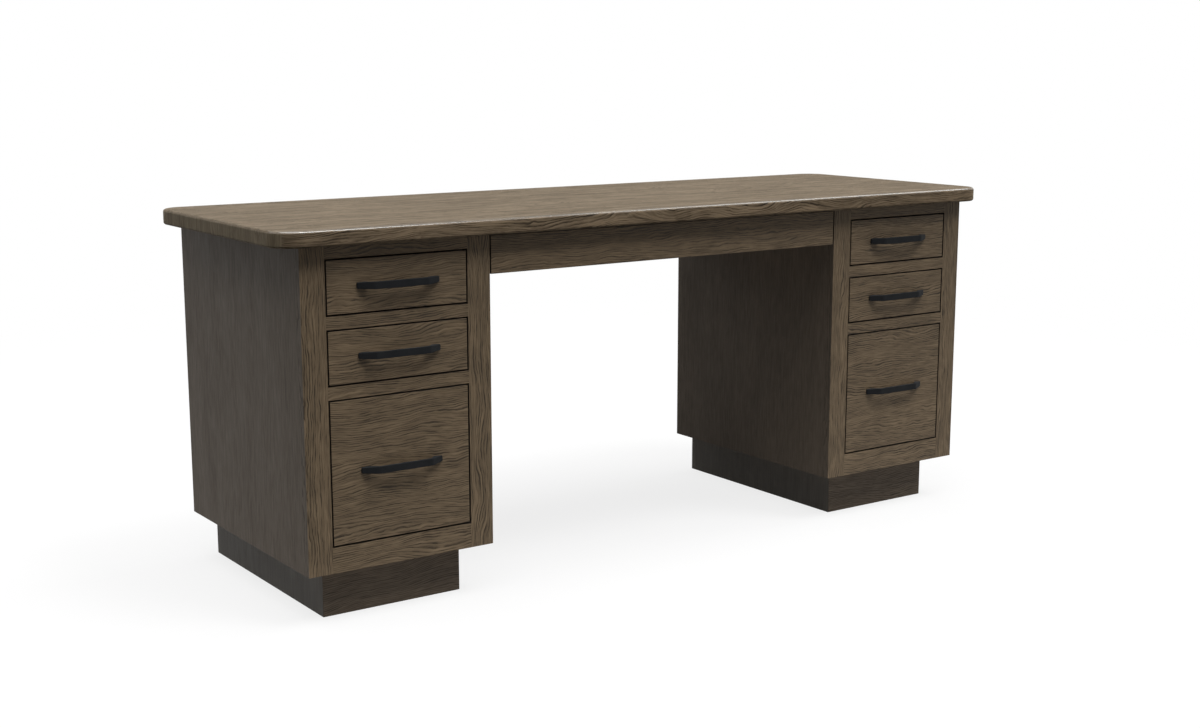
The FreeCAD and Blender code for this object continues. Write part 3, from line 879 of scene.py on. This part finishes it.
@dataclass
class Plinth:
    """The recessed base of a pedestal: four boards, mitred at the front corners."""

    hand: Hand
    thick: float = 0.01905
    arris: float = 0.0006

    def node(self) -> str:
        """Return the name of the node that the boards stand for."""
        return f"{self.hand.value}_plinth"

    def plans(self) -> dict[Facing, Plan]:
        """Lay the four boards out inside the plinth's box.

        Returns:
            Each board's corners seen from above, by the side that it faces.
        """
        (west, south, _), (east, north, _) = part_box(self.node())
        inner_west = west + self.thick
        inner_east = east - self.thick
        inner_south = south + self.thick
        west_mitre = (inner_west, inner_south)
        east_mitre = (inner_east, inner_south)
        return {
            Facing.FRONT: [(west, south), (east, south), east_mitre, west_mitre],
            Facing.WEST: [(west, south), west_mitre, (inner_west, north), (west, north)],
            Facing.EAST: [(east, south), (east, north), (inner_east, north), east_mitre],
            Facing.BACK: rectangle((inner_west, north - self.thick), (inner_east, north)),
        }

    def build(self) -> None:
        """Saw and finish the four boards."""
        low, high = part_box(self.node())
        for facing, plan in self.plans().items():
            board = saw_board(f"{self.node()}_{facing.value}", plan, low[2], high[2], self.arris)
            if facing in (Facing.FRONT, Facing.BACK):
                material = OAK_PLINTH.material(board.name, Grain.LEVEL)
            else:
                material = OAK_PLINTH_SIDE.material(board.name, Grain.SIDE)
            fit(board, "desk", self.node(), material)


@dataclass
class Pedestal:
    """One drawer pedestal: its sides, face frame and inside."""

    hand: Hand

    def node(self, part: str) -> str:
        """Return the full name of one of the pedestal's nodes."""
        return f"{self.hand.value}_{part}"

    def dress(self) -> None:
        """Finish each board of the pedestal."""
        for part in ("inner_side", "outer_side"):
            dress(self.node(part), OAK_SIDE.material(self.node(part), Grain.SIDE))
        for part, outside in (("inner_stile", self.hand.other), ("outer_stile", self.hand)):
            dress(self.node(part), OAK_FACE.material(self.node(part), Grain.UPRIGHT, outside))
        dress(self.node("frame_rails"), OAK_FACE.material(self.node("frame_rails"), Grain.LEVEL))
        dress(self.node("back_panel"), OAK_SIDE.material(self.node("back_panel"), Grain.UPRIGHT))
        for part in ("floor_panel", "top_stretchers", "slide_blocks"):
            dress(self.node(part), PLYWOOD.material(Grain.DEEP))


@dataclass
class PedestalDrawer:
    """One drawer of a pedestal: its front, box, pull and moving slide members."""

    hand: Hand
    tier: Tier
    arris: float = 0.0008

    def node(self, part: str) -> str:
        """Return the full name of one of the drawer's nodes."""
        return f"{self.hand.value}_{self.tier.value}_{part}"

    def build(self) -> None:
        """Saw and finish the drawer's front."""
        node = self.node("front")
        board = saw_front(node, self.arris)
        fit(board, self.node("drawer"), node, OAK_FACE.material(node, Grain.LEVEL))

    def dress(self) -> None:
        """Finish the other pieces of the drawer."""
        dress(self.node("box"), MAPLE.material(Grain.DEEP))
        dress(self.node("pull"), BLACK_METAL.material())
        for part in ("runners", "carriers"):
            dress(self.node(part), ZINC.material())
        if self.tier is Tier.FILE:
            dress(self.node("folder_rails"), ZINC.material())


@dataclass
class Kneehole:
    """The pencil drawer under the top, the rail that ties the pedestals, and the fixed slide members."""

    front: str = "pencil_front"
    rail: str = "kneehole_rail"
    arris: float = 0.0008

    def build(self) -> None:
        """Saw and finish the pencil drawer's front."""
        board = saw_front(self.front, self.arris)
        fit(board, "pencil_drawer", self.front, OAK_FACE.material(board.name, Grain.LEVEL))

    def dress(self) -> None:
        """Finish the other pieces of the kneehole."""
        dress("pencil_box", MAPLE.material(Grain.DEEP))
        for node in ("pencil_runners", "pencil_carriers", "cabinet_slides"):
            dress(node, ZINC.material())
        dress(self.rail, OAK_FACE.material(self.rail, Grain.LEVEL))


@dataclass(frozen=True)
class Lamp:
    """A lamp that is so far away that its light falls the same way everywhere.

    Its power is the light on a square metre that faces it, in watts.  Its spread is how wide it looks from
    the desk, in degrees: a wide lamp throws soft shadows.  Its place is the way to it from the desk.
    """

    name: str
    power: float
    spread: float
    place: Point

    def hang(self) -> None:
        """Hang the lamp."""
        lamp = bpy.data.lights.new(self.name, "SUN")
        lamp.energy = self.power
        lamp.angle = math.radians(self.spread)
        light = bpy.data.objects.new(self.name, lamp)
        east, north, up = self.place
        light.rotation_euler = (math.atan2(math.hypot(east, north), up), 0.0, math.atan2(east, -north))
        bpy.context.collection.objects.link(light)


@dataclass
class Studio:
    """A white room: floor, soft light and the camera of the photograph.

    The floor glows white far away and less so near the desk, where it shows the desk's shadow.  Light that
    bounces finds it bright only in an oval pool round the desk.  The camera's turn and tilt are in degrees,
    and its lens and sensor in millimetres.
    """

    floor_reach: float = 60.0
    floor_roughness: float = 0.9
    floor_paints: tuple[Colour, Colour] = ((0.70, 0.70, 0.70), (0.68, 0.68, 0.68))
    mottle_size: Point = (0.3, 0.3, 0.3)
    glow_reach: Span = (1.2, 3.5)
    glow_share: Span = (0.8, 1.0)
    pool_place: Point = (0.12, -0.10, 0.0)
    pool_shape: Point = (1.0, 1.8, 1.0)
    pool_reach: Span = (1.0, 1.8)
    pool_bounce: Span = (0.36, 0.03)
    sky_colour: Colour = (1.0, 0.98, 0.95)
    sky_power: float = 0.02
    lamps: tuple[Lamp, ...] = (
        Lamp("key", 3.40, 60.0, (-0.10, -0.12, 1.0)),
        Lamp("front", 1.42, 22.0, (0.40, -0.50, 1.0)),
        Lamp("glint", 0.70, 20.0, (0.68, -0.08, 0.73)),
        Lamp("back", 0.60, 30.0, (-0.10, 1.0, 0.45)),
    )
    camera_place: Point = (-2.14085, -3.06471, 1.07296)
    camera_turn: float = -34.97
    camera_tilt: float = -10.5
    lens: float = 49.85
    sensor: float = 36.0

    def build(self) -> None:
        """Put up the floor, the lights and the camera."""
        self.build_floor()
        self.build_world()
        for lamp in self.lamps:
            lamp.hang()
        self.build_camera()

    def build_floor(self) -> None:
        """Lay a pale floor that reaches the horizon."""
        half = self.floor_reach
        mesh = bpy.data.meshes.new("floor")
        corners = [(x, y, 0.0) for x, y in rectangle((-half, -half), (half, half))]
        mesh.from_pydata(corners, [], [(0, 1, 2, 3)])
        floor = bpy.data.objects.new("floor", mesh)
        bpy.context.collection.objects.link(floor)
        floor.data.materials.append(self.floor_paint())

    def floor_paint(self) -> bpy.types.Material:
        """Make pale floor paint, which is white far away and dull to light that bounces.

        Returns:
            The material.
        """
        surface = Surface("pale_floor")
        seen = surface.seen()
        place = surface.position()
        far = surface.ease(surface.length(place), *self.glow_reach, *self.glow_share)
        from_pool = surface.vector("SUBTRACT", place, self.pool_place)
        pool = surface.vector("MULTIPLY", from_pool, self.pool_shape)
        bounce = surface.ease(surface.length(pool), *self.pool_reach, *self.pool_bounce)
        dull = surface.join(bounce, bounce, bounce)
        paint = surface.blend(surface.noise(place, self.mottle_size), *self.floor_paints)
        surface.set("Base Color", surface.blend(seen, dull, paint))
        surface.set("Roughness", self.floor_roughness)
        surface.set("Specular IOR Level", 0.0)
        glow = surface.nodes.new("ShaderNodeEmission").outputs["Emission"]
        glowing = surface.math("MULTIPLY", far, seen)
        surface.show(glowing, surface.shader.outputs["BSDF"], glow, "Material Output")
        return surface.material

    def build_world(self) -> None:
        """Make the sky white to the eye and a soft fill to everything else."""
        world = bpy.data.worlds.new("white_room")
        world.use_nodes = True
        bpy.context.scene.world = world
        sky = Canvas(world.node_tree)
        fill = sky.nodes["Background"]
        fill.inputs["Color"].default_value = (*self.sky_colour, 1.0)
        fill.inputs["Strength"].default_value = self.sky_power
        white = sky.nodes.new("ShaderNodeBackground")
        white.inputs["Color"].default_value = (1.0, 1.0, 1.0, 1.0)
        sky.show(sky.seen(), fill.outputs["Background"], white.outputs["Background"], "World Output")

    def build_camera(self) -> None:
        """Stand the camera where the photograph was taken."""
        optics = bpy.data.cameras.new("camera")
        optics.lens = self.lens
        optics.sensor_width = self.sensor
        camera = bpy.data.objects.new("camera", optics)
        camera.location = self.camera_place
        # A camera that isn't turned looks straight down, a quarter turn from level.
        tilt = math.radians(90.0 + self.camera_tilt)
        camera.rotation_euler = (tilt, 0.0, math.radians(self.camera_turn))
        bpy.context.collection.objects.link(camera)
        bpy.context.scene.camera = camera


def main() -> None:
    """Build and dress the desk and the room it stands in."""
    logging.basicConfig(level=logging.INFO, format="%(name)s: %(message)s")
    bpy.context.scene.view_settings.view_transform = "Standard"
    Studio().build()
    Worktop().dress()
    kneehole = Kneehole()
    kneehole.build()
    kneehole.dress()
    for hand in Hand:
        Plinth(hand).build()
        Pedestal(hand).dress()
        for tier in Tier:
            drawer = PedestalDrawer(hand, tier)
            drawer.build()
            drawer.dress()


if __name__ == "__main__":
    main()
